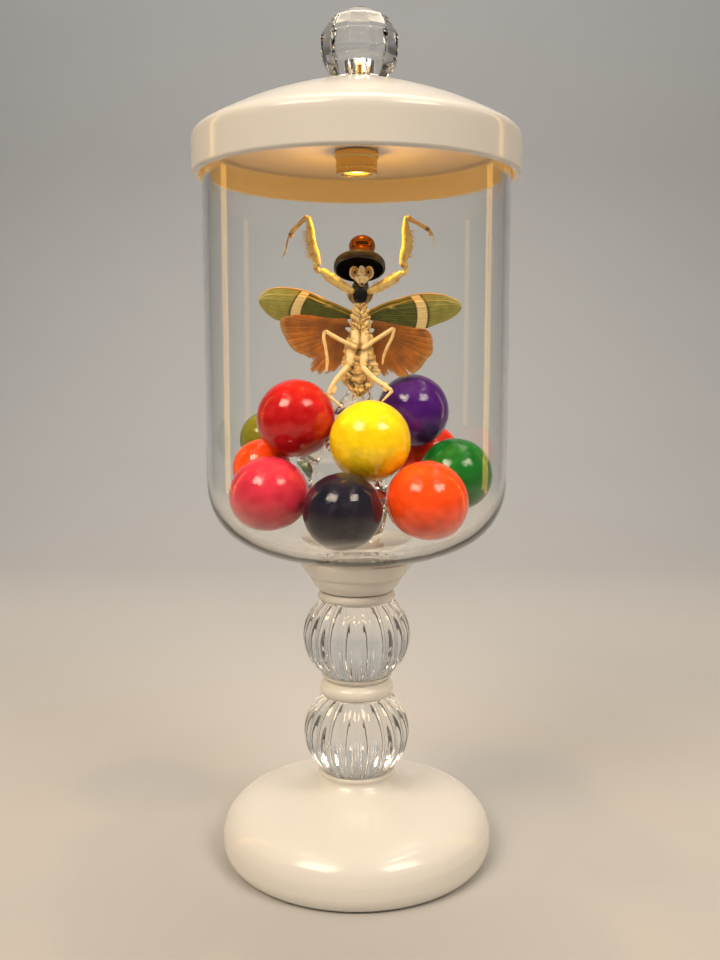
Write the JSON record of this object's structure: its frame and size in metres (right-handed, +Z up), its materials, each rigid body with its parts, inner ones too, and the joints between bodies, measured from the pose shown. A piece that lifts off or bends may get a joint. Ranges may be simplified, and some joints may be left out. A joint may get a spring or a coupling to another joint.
{
  "type": "mantis in glass jar",
  "caption": "Dried banded mantis with spread wings, fixed over coloured balls in a clear footed jar with a white lamp lid and a cut crystal knob.",
  "frame": {"origin": "centre of the foot's underside, on the jar's axis", "axes": "+Z up along the jar's axis, -Y to the front that the insect faces, +X to the viewer's right"},
  "size_m": [0.1276, 0.1276, 0.338],
  "materials": {
    "white_glaze": "warm white high-gloss glaze",
    "clear_crystal": "clear polished crystal glass",
    "jar_glass": "clear blown glass",
    "lamp_metal": "satin turned metal",
    "lamp_lens": "warm frosted light lens",
    "brass": "polished",
    "dried_insect": "dry chitin, satin body and translucent wings",
    "black_lacquer": "black satin lacquer",
    "copper": "polished copper plate",
    "candy_red": "high-gloss hard candy shell",
    "candy_yellow": "high-gloss hard candy shell",
    "candy_purple": "high-gloss hard candy shell",
    "candy_olive": "high-gloss hard candy shell",
    "candy_orange": "high-gloss hard candy shell",
    "candy_pink": "high-gloss hard candy shell",
    "candy_navy": "high-gloss hard candy shell",
    "candy_green": "high-gloss hard candy shell",
    "candy_vermilion": "high-gloss hard candy shell"
  },
  "bodies": {
    "root": {"foot": "white_glaze", "lower_glass_ball": "clear_crystal", "middle_ring": "white_glaze", "upper_glass_ball": "clear_crystal", "upper_ring": "white_glaze", "cup": "white_glaze", "jar": "jar_glass", "lid": "white_glaze", "lamp_housing": "lamp_metal", "lamp_lens": "lamp_lens", "knob": "clear_crystal", "knob_ferrule": "brass", "ball_red": "candy_red", "ball_yellow": "candy_yellow", "ball_purple": "candy_purple", "ball_olive": "candy_olive", "ball_orange_left": "candy_orange", "ball_pink": "candy_pink", "ball_navy": "candy_navy", "ball_orange_right": "candy_orange", "ball_green": "candy_green", "ball_vermilion": "candy_vermilion", "support": "clear_crystal", "mantis": "dried_insect", "hat_cap": "black_lacquer", "hat_crown": "copper"}
  },
  "joints": []
}
